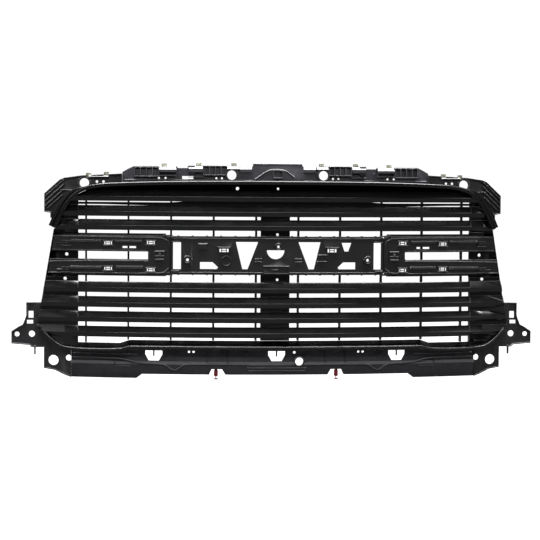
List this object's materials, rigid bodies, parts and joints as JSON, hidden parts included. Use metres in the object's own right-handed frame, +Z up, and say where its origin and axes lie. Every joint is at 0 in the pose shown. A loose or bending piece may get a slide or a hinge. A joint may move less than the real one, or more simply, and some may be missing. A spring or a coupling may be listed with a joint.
{
  "type": "front grille",
  "caption": "Bowed vehicle front grille with horizontal louvres, a badge carrier, trim carriers and bolt-on mounting panels.",
  "frame": {"origin": "middle of the upper centre mounting flange's top face", "axes": "+X across the vehicle to the viewer's right as seen from the front, +Y rearwards into the engine bay, +Z up"},
  "size_m": [1.636, 0.1661, 0.6673],
  "materials": {
    "gloss_black": "gloss moulded-in black",
    "grained_black": "fine spark-eroded grain, charcoal black",
    "panel_grey": "satin blue-grey black, glass-filled moulding",
    "spring_steel": "phosphated spring steel",
    "retainer_red": "dark red moulded plastic"
  },
  "bodies": {
    "grille": {"surround_upper": "gloss_black", "surround_lower": "gloss_black", "top_blade": "gloss_black", "spine_upper": "gloss_black", "spine_lower": "gloss_black", "louvre_1": "gloss_black", "louvre_2": "gloss_black", "louvre_3": "gloss_black", "louvre_4": "gloss_black", "louvre_5": "gloss_black", "louvre_6": "gloss_black", "louvre_7": "gloss_black", "emblem_carrier": "grained_black", "upper_mount_panel": "panel_grey", "lower_mount_panel": "panel_grey", "side_panel_left": "gloss_black", "wing_carrier_left": "grained_black", "upper_corner_bracket_left": "panel_grey", "lower_corner_bracket_left": "panel_grey", "rib_1_upper_left": "gloss_black", "rib_1_lower_left": "gloss_black", "rib_2_upper_left": "gloss_black", "rib_2_lower_left": "gloss_black", "rib_3_upper_left": "gloss_black", "rib_3_lower_left": "gloss_black", "rib_4_left": "gloss_black", "rib_5_left": "gloss_black", "retainer_body_left": "retainer_red", "spring_clip_1_left": "spring_steel", "spring_clip_2_left": "spring_steel", "spring_clip_3_left": "spring_steel", "spring_clip_4_left": "spring_steel", "spring_clip_5_left": "spring_steel", "side_panel_right": "gloss_black", "wing_carrier_right": "grained_black", "upper_corner_bracket_right": "panel_grey", "lower_corner_bracket_right": "panel_grey", "rib_1_upper_right": "gloss_black", "rib_1_lower_right": "gloss_black", "rib_2_upper_right": "gloss_black", "rib_2_lower_right": "gloss_black", "rib_3_upper_right": "gloss_black", "rib_3_lower_right": "gloss_black", "rib_4_right": "gloss_black", "rib_5_right": "gloss_black", "retainer_body_right": "retainer_red", "spring_clip_1_right": "spring_steel", "spring_clip_2_right": "spring_steel", "spring_clip_3_right": "spring_steel", "spring_clip_4_right": "spring_steel", "spring_clip_5_right": "spring_steel"},
    "retainer_pin_left": {"retainer_pin_left": "retainer_red"},
    "retainer_pin_right": {"retainer_pin_right": "retainer_red"}
  },
  "joints": [
    {"name": "retainer_push_left", "type": "slide", "parent": "grille", "child": "retainer_pin_left", "axis": [0, 0, 1], "range_m": [0, 0.006]},
    {"name": "retainer_push_right", "type": "slide", "parent": "grille", "child": "retainer_pin_right", "axis": [0, 0, 1], "range_m": [0, 0.006]}
  ]
}
